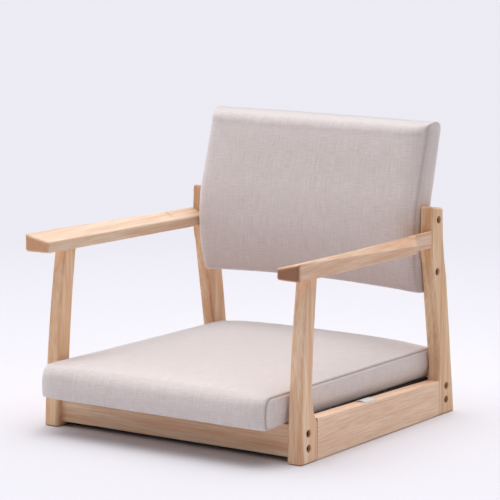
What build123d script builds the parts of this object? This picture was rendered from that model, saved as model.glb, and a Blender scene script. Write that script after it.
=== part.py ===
from build123d import *
import math
import os

# Overall frame, millimetres. Right is +X, seen from the front; -Y is the front, +Z up.
FRONT_WIDTH = 560.0        # over the feet of the front legs
REAR_WIDTH = 530.0         # over the feet of the rear posts
FRAME_DEPTH = 531.0        # front of the leg foot to rear of the post foot
CUSHION_OVERHANG = 64.0    # cushion ahead of the front legs

# Front legs
LEG_THICK = 30.0           # across the chair, at the foot
LEG_TOP_INSET = 6.2        # outer face drawn in at the top
LEG_DEPTH = 33.8           # front to back
LEG_HEIGHT = 320.0         # floor to the underside of the armrest
LEG_LEAN = 27.0            # top of the leg further back than its foot
LEG_BOW = 5.0              # hollow of the curved front edge
HEEL_DEPTH = 51.0          # foot, front to back
HEEL_RISE = 43.0           # height of the curve from rail top to leg

# Side rails
RAIL_THICK = 26.0
RAIL_FRONT_HEIGHT = 74.5
RAIL_REAR_HEIGHT = 64.9

# Rear posts
POST_THICK = 26.0
POST_FOOT = 59.0           # foot, front to back
POST_WAIST = 44.0          # depth at armrest height
POST_TOP_DEPTH = 39.5
POST_SET = 91.2            # rear of the foot to the face that takes the armrest
POST_ABOVE_ARM = 71.0      # post standing above the armrest underside
TOE_RISE = 43.0

# Armrests
ARM_OVERHANG = 28.0        # ahead of the foot of the leg
ARM_INNER_FRONT = 36.0     # inner edge, from the outer face of the side frame
ARM_INNER_REAR = 28.0
ARM_FLANGE = 14.5          # outer edge, beyond the outer face of the side frame
ARM_INNER_THICK = 21.5
ARM_RIDGE_THICK = 32.0
ARM_FACET_DROP = 18.0      # depth of the outer facet at its rear end
ARM_DROP = 4.5             # fall of the armrest from front to rear
ARM_BLOCK = 54.0           # full-height block ahead of the post
ARM_SCOOP_R = 26.0         # hollow end of the facet
ARM_END_SKEW = 6.0         # outer front corner ahead of the inner one
ARM_ARRIS = 3.5            # rounding of the inner edges
ARM_LOWER_ARRIS = 4.5      # rounding of the outer lower edge
ARM_NOSE = 6.0             # rounding of the front end

# Cross rails and seat base
CROSS_THICK = 20.0
CROSS_BOTTOM = 9.0
CROSS_TOP = 65.5
CROSS_SETBACK = 14.0       # front rail behind the front of the leg foot
REAR_CROSS_INSET = 21.0    # rear rail ahead of the rear of the post foot
PANEL_THICK = 12.0
PANEL_TOP = 66.0
CLEAT = 20.0
CLEAT_END_GAP = 12.0
CROSS_CLEAT_LENGTH = 400.0

# Fasteners
BOLT_R = 3.0
BOLT_HEAD_R = 6.0
BOLT_HEAD_H = 5.0
BOLT_SOCKET = 4.0          # across flats
BOLT_SEAT = 11.0           # head seat below the outer face
COUNTERBORE_R = 7.0
CROSS_BOLT_LENGTH = 68.0
CROSS_BOLT_LOW = 26.5
CROSS_BOLT_PITCH = 26.0
BACK_BOLT_LENGTH = 36.0
BACK_BOLT_TOP = 49.5       # above the armrest underside
BACK_BOLT_PITCH = 95.0
BACK_BOLT_SET = 25.0       # behind the face that takes the armrest
BACK_BOLT_LEAN = 3.0
NUT_R = 5.0
NUT_LENGTH = 14.0
NUT_INSET = 12.0           # nut ahead of the bolt tip
INSERT_R = 5.0
INSERT_LENGTH = 14.0
SCREW_R = 2.0
SCREW_HEAD_R = 4.0
SCREW_HEAD_H = 2.4
CLEAT_SCREW_LENGTH = 34.0
PANEL_SCREW_LENGTH = 26.0
DOWEL_R = 5.0
DOWEL_LENGTH = 36.0
ARM_DOWEL_R = 4.0
ARM_DOWEL_LENGTH = 40.0
TENON_WIDE = 12.0
TENON_DEEP = 20.0
TENON_LONG = 14.0

# Back pad
PAD_BOTTOM = 77.0          # pad below the armrest underside, at its lower middle
PAD_TOP = 222.5            # pad above the armrest underside
PAD_THICK = 76.0           # at the lumbar
PAD_TOP_THICK = 70.0
PAD_FORWARD = 36.0         # lumbar ahead of the face that takes the armrest
PAD_LOW_BACK = 19.0        # lower edge behind the lumbar
PAD_HIGH_BACK = 47.0       # upper edge behind the lumbar
PAD_ROLL = 27.0            # front panel rolled back to the side seam
PAD_TOP_ROLL = 21.0        # front panel rolled over the top
PAD_REAR_ROLL = 13.0
PAD_FOOT_ROLL = 8.0
PAD_ARCH = 9.0             # lower edge raised at the middle
FOAM = 38.0
BOARD = 6.0
REAR_COVER = 4.0
SIDE_COVER = 4.5
STILE = 24.0
BACK_RAIL = 30.0
FRAME_LOW_INSET = 16.0     # frame above the lower edge of the pad
FRAME_HIGH_INSET = 26.0    # frame below the top of the pad
BACK_DOWEL_R = 3.0
BACK_DOWEL_LENGTH = 30.0

# Seat cushion
CUSHION_THICK = 57.0       # at the side seams
CUSHION_CROWN = 8.0
CUSHION_REAR = 27.0        # rear of the cushion ahead of the rear of the post foot
CUSHION_SIDE_GAP = 6.5     # to the front leg
CUSHION_REAR_GAP = 3.0     # to the rear post
CUSHION_ROLL = 19.0        # upper edges, front and rear
CUSHION_FOOT = 8.0         # lower edges
CUSHION_EDGE = 4.0

# Tape tab on the rail top
TAB_LENGTH = 34.0
TAB_WIDE = 20.0
TAB_THICK = 1.0
TAB_SET = 233.0            # tab centre behind the front of the leg foot

# Clearances
FIT = 0.05
SOFT_GAP = 0.4
PANEL_GAP = 1.0
PAD_SIDE_GAP = 0.8
TIP_GAP = 1.0
EDGE_EASE = 3.2            # long edges of legs and posts
FOOT_EASE = 2.5            # edges on the floor
RAIL_ROUND = 2.0

# Derived places
TOE_IN = math.degrees(math.asin((FRONT_WIDTH - REAR_WIDTH) / 2 / FRAME_DEPTH))
COS_T = math.cos(math.radians(TOE_IN))
SIN_T = math.sin(math.radians(TOE_IN))
FRONT_Y = (CUSHION_OVERHANG - FRAME_DEPTH * COS_T) / 2
POST_FACE = FRAME_DEPTH - POST_SET
POST_JOINT = FRAME_DEPTH - POST_FOOT
ARM_LENGTH = POST_FACE + ARM_OVERHANG
ARM_REAR_Z = LEG_HEIGHT - ARM_DROP
REAR_CROSS_Y = FRAME_DEPTH - REAR_CROSS_INSET - CROSS_THICK / 2


def line(a, b):
    return Edge.make_line((0, a[0], a[1]), (0, b[0], b[1]))


def arc(a, m, b):
    return Edge.make_three_point_arc((0, a[0], a[1]), (0, m[0], m[1]), (0, b[0], b[1]))


def prism(edges, x0, x1):
    return Pos(x0, 0, 0) * extrude(Face(Wire(edges)), x1 - x0, dir=(1, 0, 0))


def slab(corners, z0, z1):
    wire = Wire.make_polygon([(x, y, z0) for x, y in corners], close=True)
    return extrude(Face(wire), z1 - z0, dir=(0, 0, 1))


def rod_x(r, x0, x1, y, z):
    return Pos((x0 + x1) / 2, y, z) * Rot(0, 90, 0) * Cylinder(r, abs(x1 - x0))


def rod_y(r, x, y0, y1, z):
    return Pos(x, (y0 + y1) / 2, z) * Rot(90, 0, 0) * Cylinder(r, abs(y1 - y0))


def rod_z(r, x, y, z0, z1):
    return Pos(x, y, (z0 + z1) / 2) * Cylinder(r, abs(z1 - z0))


def right(shape):
    return Pos(FRONT_WIDTH / 2, FRONT_Y, 0) * Rot(0, 0, TOE_IN) * shape


def left(shape):
    return mirror(right(shape), about=Plane.YZ)


def both(shapes):
    return [right(s) for s in shapes] + [left(s) for s in shapes]


def frame_x(depth, y):
    # place across the chair of a plane parallel to the side frame, at a chair Y
    return FRONT_WIDTH / 2 + depth / COS_T - (y - FRONT_Y) * SIN_T / COS_T


def arm_under(y):
    return LEG_HEIGHT - ARM_DROP * (y + ARM_OVERHANG) / ARM_LENGTH


def leg_edge(z):
    share = z / LEG_HEIGHT
    return LEG_LEAN * share - 4 * LEG_BOW * share * (1 - share)


# Fasteners across the chair: along X, the head below an outer face at x
def bolt(x, y, z, length):
    seat = x - BOLT_SEAT
    head = rod_x(BOLT_HEAD_R, seat, seat + BOLT_HEAD_H, y, z)
    shank = rod_x(BOLT_R, seat - length, seat, y, z)
    hexagon = extrude(RegularPolygon(BOLT_SOCKET / 2, 6, major_radius=False), BOLT_HEAD_H)
    socket = Pos(seat + BOLT_HEAD_H / 2, y, z) * Rot(0, 90, 0) * hexagon
    return head + shank - socket


def bolt_way(x, y, z, length):
    seat = x - BOLT_SEAT
    shank = rod_x(BOLT_R + FIT, seat - length - TIP_GAP, seat + BOLT_HEAD_H, y, z)
    return shank + rod_x(COUNTERBORE_R, seat, x + BOLT_SEAT, y, z)


def barrel(x, y, z, r, length):
    middle_x = x - BOLT_SEAT - CROSS_BOLT_LENGTH + NUT_INSET
    return rod_y(r, middle_x, y - length / 2, y + length / 2, z)


def screw(length, r, head_r, head_h):
    head = Pos(0, 0, -head_h / 2) * Cone(r, head_r, head_h)
    return head + rod_z(r, 0, 0, -length, -head_h / 2)


def screws(places, length):
    return [place * screw(length, SCREW_R, SCREW_HEAD_R, SCREW_HEAD_H) for place in places]


def screw_ways(places, length):
    wide = screw(length + 0.5, SCREW_R + FIT, SCREW_HEAD_R + FIT, SCREW_HEAD_H)
    mouth = rod_z(SCREW_HEAD_R + FIT, 0, 0, 0, 3.0)
    return [place * (wide + mouth) for place in places]


def cut(solid, tools):
    for tool in tools:
        solid = solid - tool
    return solid


def pair(shapes):
    return shapes + [mirror(shape, about=Plane.YZ) for shape in shapes]


front_mid_y = FRONT_Y + CROSS_SETBACK + CROSS_THICK / 2
rear_mid_y = FRONT_Y + REAR_CROSS_Y * COS_T
back_high_z = ARM_REAR_Z + BACK_BOLT_TOP
back_high_y = FRONT_Y + (POST_FACE + BACK_BOLT_SET) * COS_T
back_low_y = back_high_y - BACK_BOLT_LEAN
front_bolt_places = []
rear_bolt_places = []
for z in (CROSS_BOLT_LOW, CROSS_BOLT_LOW + CROSS_BOLT_PITCH):
    front_bolt_places.append((frame_x(0, front_mid_y), front_mid_y, z))
    rear_bolt_places.append((frame_x(0, rear_mid_y), rear_mid_y, z))
back_bolt_places = [
    (frame_x(0, back_high_y), back_high_y, back_high_z),
    (frame_x(0, back_low_y), back_low_y, back_high_z - BACK_BOLT_PITCH),
]
front_ways = [bolt_way(*place, CROSS_BOLT_LENGTH) for place in front_bolt_places]
rear_ways = [bolt_way(*place, CROSS_BOLT_LENGTH) for place in rear_bolt_places]
back_ways = [bolt_way(*place, BACK_BOLT_LENGTH) for place in back_bolt_places]

# Dowels between rail, leg and post
rail_dowel_z = [RAIL_REAR_HEIGHT * 0.28, RAIL_REAR_HEIGHT * 0.72]
rail_dowel_ends = [HEEL_DEPTH, POST_JOINT]
rail_dowels = []
rail_dowel_ways = []
for end in rail_dowel_ends:
    for z in rail_dowel_z:
        x = -RAIL_THICK / 2
        half = DOWEL_LENGTH / 2
        rail_dowels.append(rod_y(DOWEL_R, x, end - half, end + half, z))
        rail_dowel_ways.append(rod_y(DOWEL_R + FIT, x, end - half - 1.0, end + half + 1.0, z))

# Dowels between armrest and post
arm_dowels = []
arm_dowel_ways = []
for x in [-POST_THICK * 0.27, -POST_THICK * 0.73]:
    z = ARM_REAR_Z + ARM_INNER_THICK / 2
    half = ARM_DOWEL_LENGTH / 2
    arm_dowels.append(rod_y(ARM_DOWEL_R, x, POST_FACE - half, POST_FACE + half, z))
    arm_dowel_ways.append(rod_y(ARM_DOWEL_R + FIT, x, POST_FACE - half - 1.0, POST_FACE + half + 1.0, z))

# Front leg
heel_z = RAIL_FRONT_HEIGHT + HEEL_RISE
heel_y = leg_edge(heel_z) + LEG_DEPTH
rear_mid_z = (heel_z + LEG_HEIGHT) / 2
leg_top_front = (LEG_LEAN, arm_under(LEG_LEAN))
leg_top_rear = (LEG_LEAN + LEG_DEPTH, arm_under(LEG_LEAN + LEG_DEPTH))
leg_front = arc(leg_top_front, (leg_edge(LEG_HEIGHT / 2), LEG_HEIGHT / 2), (0, 0))
leg_rear = arc((heel_y, heel_z), (leg_edge(rear_mid_z) + LEG_DEPTH, rear_mid_z), leg_top_rear)
heel_mid = (heel_y + (HEEL_DEPTH - heel_y) * 0.27, RAIL_FRONT_HEIGHT + HEEL_RISE * 0.45)
leg_outline = [
    line((0, 0), (HEEL_DEPTH, 0)),
    line((HEEL_DEPTH, 0), (HEEL_DEPTH, RAIL_FRONT_HEIGHT)),
    arc((HEEL_DEPTH, RAIL_FRONT_HEIGHT), heel_mid, (heel_y, heel_z)),
    leg_rear,
    line(leg_top_rear, leg_top_front),
    leg_front,
]
leg = prism(leg_outline, -LEG_THICK, 0)
taper = Wire.make_polygon(
    [(0, -20, 0), (0, -20, -20), (20, -20, -20), (20, -20, LEG_HEIGHT + 20),
     (-LEG_TOP_INSET * (1 + 20 / LEG_HEIGHT), -20, LEG_HEIGHT + 20)],
    close=True,
)
leg = leg - extrude(Face(taper), LEG_LEAN + LEG_DEPTH + 80, dir=(0, 1, 0))
leg_long_edges = [e for e in leg.edges() if e.length > HEEL_RISE * 0.9 and abs(e.tangent_at(0.5).Z) > 0.7]
leg_long_edges = [e for e in leg_long_edges if abs(e.center().Y - HEEL_DEPTH) > 1.0]
leg = chamfer(leg_long_edges, EDGE_EASE)
leg_foot_edges = [e for e in leg.edges() if e.center().Z < 0.5 and abs(e.center().Y - HEEL_DEPTH) > 1.0]
leg = chamfer(leg_foot_edges, FOOT_EASE)
tenon_x = -(LEG_TOP_INSET + LEG_THICK) / 2
tenon_y = LEG_LEAN + LEG_DEPTH / 2
tenon_foot = arm_under(tenon_y) - 2.0
tenon_top = arm_under(tenon_y) + TENON_LONG
tenon_place = Pos(tenon_x, tenon_y, (tenon_foot + tenon_top) / 2)
tenon = tenon_place * Box(TENON_WIDE, TENON_DEEP, tenon_top - tenon_foot)
leg = right(cut(leg + tenon, rail_dowel_ways))
leg = cut(leg, front_ways)

# Side rail
rail_outline = [
    line((HEEL_DEPTH, 0), (POST_JOINT, 0)),
    line((POST_JOINT, 0), (POST_JOINT, RAIL_REAR_HEIGHT)),
    line((POST_JOINT, RAIL_REAR_HEIGHT), (HEEL_DEPTH, RAIL_FRONT_HEIGHT)),
    line((HEEL_DEPTH, RAIL_FRONT_HEIGHT), (HEEL_DEPTH, 0)),
]
rail = prism(rail_outline, -RAIL_THICK, 0)
rail_edges = [e for e in rail.edges() if e.length > 100.0]
rail = chamfer([e for e in rail_edges if e.center().Z < 0.5], FOOT_EASE)
rail_edges = [e for e in rail.edges() if e.length > 100.0]
rail = fillet([e for e in rail_edges if e.center().Z > RAIL_REAR_HEIGHT], RAIL_ROUND)

# Rear post
post_top_z = ARM_REAR_Z + POST_ABOVE_ARM + ARM_DROP
toe_y = POST_JOINT + 1.6
toe_z = RAIL_REAR_HEIGHT + TOE_RISE
elbow_low = (POST_FACE + 6.2, ARM_REAR_Z - 31.5)
elbow_mid = (POST_FACE + 1.6, ARM_REAR_Z - 15.5)
seat_low = (POST_FACE, ARM_REAR_Z - 1.5)
seat_high = (POST_FACE, ARM_REAR_Z + ARM_RIDGE_THICK + 2.0)
top_front = (POST_FACE + 2.4, post_top_z)
top_rear = (POST_FACE + 2.4 + POST_TOP_DEPTH, post_top_z - 6.2)
waist_rear = (POST_FACE + POST_WAIST, ARM_REAR_Z + 14.5)
waist_mid = (POST_FACE + POST_WAIST + 4.4, ARM_REAR_Z - 15.5)
rear_bend = (FRAME_DEPTH - 33.5, ARM_REAR_Z - 58.5)
post_outline = [
    line((POST_JOINT, 0), (POST_JOINT, RAIL_REAR_HEIGHT)),
    arc((POST_JOINT, RAIL_REAR_HEIGHT), (toe_y + 1.9, RAIL_REAR_HEIGHT + TOE_RISE * 0.42), (toe_y, toe_z)),
    line((toe_y, toe_z), elbow_low),
    arc(elbow_low, elbow_mid, seat_low),
    line(seat_low, seat_high),
    line(seat_high, top_front),
    line(top_front, top_rear),
    line(top_rear, waist_rear),
    arc(waist_rear, waist_mid, rear_bend),
    line(rear_bend, (FRAME_DEPTH, 0)),
    line((FRAME_DEPTH, 0), (POST_JOINT, 0)),
]
post = prism(post_outline, -POST_THICK, 0)


def post_eased(edge):
    # all edges but those at the rail, the armrest and the floor
    spot = edge.center()
    across = abs(edge.tangent_at(0.5).X) > 0.5
    at_rail = abs(spot.Y - POST_JOINT) < 0.5 and spot.Z < RAIL_REAR_HEIGHT
    at_arm = abs(spot.Y - POST_FACE) < 0.5 and seat_low[1] < spot.Z < seat_high[1]
    if across:
        return spot.Z > top_rear[1] - 1.0
    return spot.Z > 1.0 and not at_rail and not at_arm


post = chamfer([e for e in post.edges() if post_eased(e)], EDGE_EASE)
post_foot_edges = [e for e in post.edges() if e.center().Z < 0.5 and abs(e.center().Y - POST_JOINT) > 1.0]
post = chamfer(post_foot_edges, FOOT_EASE)
post = right(cut(post, rail_dowel_ways + arm_dowel_ways))
post = cut(post, rear_ways + back_ways)


# Armrest: board with an inward-tilted top and a facet along its outer edge
def arm_points(y, outer, facet, inset, skew):
    share = (y + ARM_OVERHANG) / ARM_LENGTH
    inner = -(ARM_INNER_FRONT + (ARM_INNER_REAR - ARM_INNER_FRONT) * share) + inset
    low = arm_under(y) + inset
    inner_top = arm_under(y) + ARM_INNER_THICK - inset
    ridge_z = arm_under(y) + ARM_RIDGE_THICK - inset
    out = outer - inset
    ridge_x = out - 1.2 - (out - 1.2) * facet
    foot_z = ridge_z - 1.2 - (ARM_FACET_DROP - 1.2) * facet
    a = ARM_ARRIS
    b = ARM_LOWER_ARRIS
    part = 1 - math.sqrt(0.5)
    flat = [
        (inner + a, low),
        (inner + a * part, low + a * part),
        (inner, low + a),
        (inner, inner_top - a),
        (inner + a * part, inner_top - a * 0.4),
        (inner + a, inner_top - a * 0.15),
        (ridge_x, ridge_z),
        (out, foot_z),
        (out, low + b),
        (out - b * part, low + b * part),
        (out - b, low),
    ]
    span = ARM_FLANGE + ARM_INNER_FRONT
    return [(x, y - skew * ((x + ARM_INNER_FRONT) / span - 0.5), z) for x, z in flat]


def arm_ring(points):
    return Wire.make_polygon(points, close=True)


facet_end = POST_FACE - ARM_BLOCK
arm_rings = []
for turn in (0, 30, 60, 90):
    back = ARM_NOSE * (1 - math.cos(math.radians(turn)))
    inset = ARM_NOSE * (1 - math.sin(math.radians(turn)))
    arm_rings.append(arm_ring(arm_points(back - ARM_OVERHANG, ARM_FLANGE, 0, inset, ARM_END_SKEW)))
arm_rings.append(arm_ring(arm_points(facet_end, ARM_FLANGE, 1, 0, 0)))
arm_board = Solid.make_loft(arm_rings, True)
arm_block = Solid.make_loft(
    [arm_ring(arm_points(facet_end - 30.0, 0, 0, 0, 0)), arm_ring(arm_points(POST_FACE, 0, 0, 0, 0))], True)
scoop = rod_z(ARM_SCOOP_R, ARM_SCOOP_R, facet_end, LEG_HEIGHT - 40, LEG_HEIGHT + 80)
arm = arm_board - scoop + arm_block
mortise_top = tenon_top + 0.5
mortise = Pos(tenon_x, tenon_y, mortise_top - 20.0) * Box(TENON_WIDE + 2 * FIT, TENON_DEEP + 2 * FIT, 40.0)
arm = cut(arm, [mortise] + arm_dowel_ways)

# Cross rails
front_y0 = FRONT_Y + CROSS_SETBACK
front_y1 = front_y0 + CROSS_THICK
rear_y0 = rear_mid_y - CROSS_THICK / 2
rear_y1 = rear_mid_y + CROSS_THICK / 2


def crossbar(depth, y0, y1, z0, z1):
    near = frame_x(-depth, y0)
    far = frame_x(-depth, y1)
    return slab([(-near, y0), (near, y0), (far, y1), (-far, y1)], z0, z1)


cross_places = front_bolt_places + rear_bolt_places
nuts = []
nut_ways = []
for place in cross_places:
    nuts.append(barrel(*place, NUT_R, NUT_LENGTH) - bolt_way(*place, CROSS_BOLT_LENGTH))
    nut_ways.append(barrel(*place, NUT_R + FIT, NUT_LENGTH + TIP_GAP))

front_rail = crossbar(LEG_THICK, front_y0, front_y1, CROSS_BOTTOM, CROSS_TOP)
front_rail = cut(front_rail, pair(front_ways + nut_ways))
rear_rail = crossbar(POST_THICK, rear_y0, rear_y1, CROSS_BOTTOM, CROSS_TOP)
rear_rail = cut(rear_rail, pair(rear_ways + nut_ways))

# Seat panel and its cleats
panel_low = PANEL_TOP - PANEL_THICK
cleat_low = panel_low - CLEAT
cleat_y0 = HEEL_DEPTH + CLEAT_END_GAP
cleat_y1 = POST_JOINT - CLEAT_END_GAP - CLEAT
cleat_mid_z = panel_low - CLEAT / 2
cleat_box = Pos(-RAIL_THICK - CLEAT / 2, (cleat_y0 + cleat_y1) / 2, cleat_mid_z)
side_cleat = cleat_box * Box(CLEAT, cleat_y1 - cleat_y0, CLEAT)
side_stations = [cleat_y0 + (cleat_y1 - cleat_y0) * s for s in (0.12, 0.5, 0.88)]
panel_stations = [cleat_y0 + (cleat_y1 - cleat_y0) * s for s in (0.26, 0.74)]
side_screw_places = [Pos(-RAIL_THICK - CLEAT, y, cleat_mid_z) * Rot(0, -90, 0) for y in side_stations]
panel_screw_places = [Pos(-RAIL_THICK - CLEAT / 2 - 3.0, y, PANEL_TOP) for y in panel_stations]
side_screws = screws(side_screw_places, CLEAT_SCREW_LENGTH)
panel_screws = screws(panel_screw_places, PANEL_SCREW_LENGTH)
side_screw_ways = screw_ways(side_screw_places, CLEAT_SCREW_LENGTH)
panel_screw_ways = screw_ways(panel_screw_places, PANEL_SCREW_LENGTH)
side_cleat = cut(side_cleat, side_screw_ways + panel_screw_ways)
rail = cut(rail, rail_dowel_ways + side_screw_ways)

cross_stations = [-CROSS_CLEAT_LENGTH * 0.38, 0.0, CROSS_CLEAT_LENGTH * 0.38]
front_cleat = Pos(0, front_y1 + CLEAT / 2, cleat_mid_z) * Box(CROSS_CLEAT_LENGTH, CLEAT, CLEAT)
rear_cleat = Pos(0, rear_y0 - CLEAT / 2, cleat_mid_z) * Box(CROSS_CLEAT_LENGTH, CLEAT, CLEAT)
front_screw_places = [Pos(x, front_y1 + CLEAT, cleat_mid_z) * Rot(-90, 0, 0) for x in cross_stations]
rear_screw_places = [Pos(x, rear_y0 - CLEAT, cleat_mid_z) * Rot(90, 0, 0) for x in cross_stations]
front_cleat = cut(front_cleat, screw_ways(front_screw_places, CLEAT_SCREW_LENGTH))
rear_cleat = cut(rear_cleat, screw_ways(rear_screw_places, CLEAT_SCREW_LENGTH))
front_rail = cut(front_rail, screw_ways(front_screw_places, CLEAT_SCREW_LENGTH))
rear_rail = cut(rear_rail, screw_ways(rear_screw_places, CLEAT_SCREW_LENGTH))
panel = crossbar(LEG_THICK + PANEL_GAP, front_y1 + PANEL_GAP, rear_y0 - PANEL_GAP, panel_low, PANEL_TOP)
panel = cut(panel, both(panel_screw_ways))

# Back pad outline, seen from the side
pad_face = POST_FACE * COS_T + FRONT_Y
lumbar_y = pad_face - PAD_FORWARD
lumbar_z = ARM_REAR_Z + 21.5
pad_low = ARM_REAR_Z - PAD_BOTTOM
pad_high = ARM_REAR_Z + PAD_TOP
bend_z = lumbar_z + 85.0
bend_back = PAD_HIGH_BACK * 0.287
pad_half = frame_x(-POST_THICK, pad_face + POST_WAIST) - PAD_SIDE_GAP


def pad_ring(x, front_in, low_in, high_in, rear_in, tip):
    # one closed cross outline of the pad: an arc and a line each side, rolled over the top, a near flat sole;
    # tip makes the rolls alike, so that the top narrows to a round end at the sides
    z0 = pad_low + low_in
    z1 = pad_high - high_in
    roll_front = PAD_TOP_ROLL - 3.0 * tip
    roll_rear = PAD_REAR_ROLL + 5.0 * tip
    front_top = lumbar_y + PAD_HIGH_BACK - 6.5 + front_in
    rear_top = lumbar_y + PAD_HIGH_BACK + PAD_TOP_THICK - 3.0 - rear_in
    f_low = (lumbar_y + PAD_LOW_BACK + front_in, z0 + PAD_FOOT_ROLL)
    f_mid = (lumbar_y + front_in, lumbar_z)
    f_bend = (lumbar_y + bend_back + front_in, bend_z)
    f_top = (front_top, z1 - roll_front)
    crown_front = (front_top + roll_front, z1)
    crown_rear = (rear_top - roll_rear, z1)
    r_top = (rear_top, z1 - roll_rear)
    r_bend = (lumbar_y + bend_back + PAD_THICK - rear_in, bend_z)
    r_mid = (lumbar_y + PAD_THICK - rear_in, lumbar_z)
    r_low = (lumbar_y + PAD_LOW_BACK + PAD_THICK - 4.0 - rear_in, z0 + PAD_FOOT_ROLL)
    sole_front = (f_low[0] + PAD_FOOT_ROLL, z0)
    sole_rear = (r_low[0] - PAD_FOOT_ROLL, z0)
    turn = 1 - math.sqrt(0.5)
    edges = [
        arc(f_low, f_mid, f_bend),
        line(f_bend, f_top),
        arc(f_top, (f_top[0] + roll_front * turn, z1 - roll_front * turn), crown_front),
        line(crown_front, crown_rear),
        arc(crown_rear, (r_top[0] - roll_rear * turn, z1 - roll_rear * turn), r_top),
        line(r_top, r_bend),
        arc(r_bend, r_mid, r_low),
        arc(r_low, (r_low[0] - PAD_FOOT_ROLL * turn, z0 + PAD_FOOT_ROLL * turn), sole_rear),
        line(sole_rear, sole_front),
        arc(sole_front, (f_low[0] + PAD_FOOT_ROLL * turn, z0 + PAD_FOOT_ROLL * turn), f_low),
    ]
    return Pos(x, 0, 0) * Wire(edges)


pad_half_rows = [
    (1.0, 0.0, PAD_ROLL, -PAD_ARCH, -0.5, 2.0, 1.0),
    (1.0, -4.0, PAD_ROLL * 0.55, -PAD_ARCH * 0.97, 0.4, 1.0, 0.5),
    (1.0, -12.0, PAD_ROLL * 0.28, -PAD_ARCH * 0.9, 1.0, 0.4, 0.2),
    (1.0, -28.0, PAD_ROLL * 0.11, -PAD_ARCH * 0.78, 1.0, 0.0, 0.0),
    (0.5, 0.0, PAD_ROLL * 0.03, -PAD_ARCH * 0.25, 0.2, 0.0, 0.0),
]
pad_rows = [(-side, -out, *rest) for side, out, *rest in pad_half_rows]
pad_rows.append((0.0, 0.0, 0.0, 0.0, 0.0, 0.0, 0.0))
pad_rows.extend(reversed(pad_half_rows))
pad = Solid.make_loft([pad_ring(side * pad_half + out, *rest) for side, out, *rest in pad_rows], True)


# Frame inside the pad, following the same bend
def back_strip(front_move, front_top, rear_move, rear_top, z0, z1, x0, x1):
    f0 = (lumbar_y + frame_low_back + front_move, z0)
    f1 = (lumbar_y + front_move, lumbar_z)
    f2 = (lumbar_y + bend_back + front_move, bend_z)
    f3 = (lumbar_y + frame_high_back + front_top, z1)
    r3 = (lumbar_y + frame_high_back + rear_top, z1)
    r2 = (lumbar_y + bend_back + rear_move, bend_z)
    r1 = (lumbar_y + rear_move, lumbar_z)
    r0 = (lumbar_y + frame_low_back + rear_move, z0)
    edges = [
        arc(f0, f1, f2),
        line(f2, f3),
        line(f3, r3),
        line(r3, r2),
        arc(r2, r1, r0),
        line(r0, f0),
    ]
    return prism(edges, x0, x1)


frame_z0 = pad_low + FRAME_LOW_INSET
frame_z1 = pad_high - FRAME_HIGH_INSET
frame_low_back = PAD_LOW_BACK * 0.5
frame_high_back = PAD_HIGH_BACK * 0.84
stile_front = FOAM + BOARD
cover_rear = PAD_THICK - REAR_COVER / 2
cover_top = PAD_TOP_THICK - REAR_COVER
stile_rear = cover_rear - REAR_COVER
stile_top = cover_top - REAR_COVER
stile_out = pad_half - SIDE_COVER - SOFT_GAP
stile_in = stile_out - STILE
stile = back_strip(stile_front, stile_front, stile_rear, stile_top, frame_z0, frame_z1, stile_in, stile_out)
board = back_strip(FOAM, FOAM, stile_front, stile_front, frame_z0, frame_z1, -stile_out, stile_out)
rear_cover = back_strip(
    stile_rear, stile_top, cover_rear, cover_top, frame_z0, frame_z1, -stile_out, stile_out)
core = back_strip(stile_front, stile_front, stile_rear, stile_top, frame_z0, frame_z1, -stile_in, stile_in)
tall = 2 * PAD_TOP
low_band = Pos(0, pad_face, frame_z0 + BACK_RAIL / 2) * Box(tall * 2, tall, BACK_RAIL)
high_band = Pos(0, pad_face, frame_z1 - BACK_RAIL / 2) * Box(tall * 2, tall, BACK_RAIL)
back_low_rail = core & low_band
back_high_rail = core & high_band

inserts = []
insert_ways = []
tip_ways = []
for x, y, z in back_bolt_places:
    insert_end = stile_out - INSERT_LENGTH
    insert = rod_x(INSERT_R, insert_end, stile_out - TIP_GAP / 2, y, z)
    tip_ways.append(bolt_way(x, y, z, BACK_BOLT_LENGTH))
    inserts.append(insert - tip_ways[-1])
    insert_ways.append(rod_x(INSERT_R + FIT, insert_end - TIP_GAP, stile_out + TIP_GAP, y, z))
stile_right = cut(stile, insert_ways + tip_ways)
stile_left = mirror(stile_right, about=Plane.YZ)

back_dowels = []
back_dowel_ways = []
low_dowel = (frame_low_back * 0.8, frame_z0 + BACK_DOWEL_R * 2)
high_dowel = (frame_high_back * 0.86, frame_z1 - BACK_RAIL / 2)
for lean, z in (low_dowel, high_dowel):
    for side in (-1, 1):
        y = lumbar_y + lean + (stile_front + stile_top) / 2
        inner = side * (stile_in - BACK_DOWEL_LENGTH * 0.6)
        outer = side * (stile_in + BACK_DOWEL_LENGTH * 0.4)
        back_dowels.append(rod_x(BACK_DOWEL_R, inner, outer, y, z))
        back_dowel_ways.append(rod_x(BACK_DOWEL_R + FIT, inner - side, outer + side, y, z))
stile_right = cut(stile_right, back_dowel_ways)
stile_left = cut(stile_left, back_dowel_ways)
back_low_rail = cut(back_low_rail, back_dowel_ways)
back_high_rail = cut(back_high_rail, back_dowel_ways)

hollow = back_strip(
    FOAM - SOFT_GAP, FOAM - SOFT_GAP, PAD_THICK + 30.0, PAD_THICK + 30.0,
    frame_z0 - SOFT_GAP, frame_z1 + SOFT_GAP, -stile_out - SOFT_GAP, stile_out + SOFT_GAP)
pad = pad - hollow
cover_holes = [rod_x(BOLT_R + 1.0, stile_in, x, y, z) for x, y, z in back_bolt_places]
pad = cut(pad, pair(cover_holes))


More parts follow.
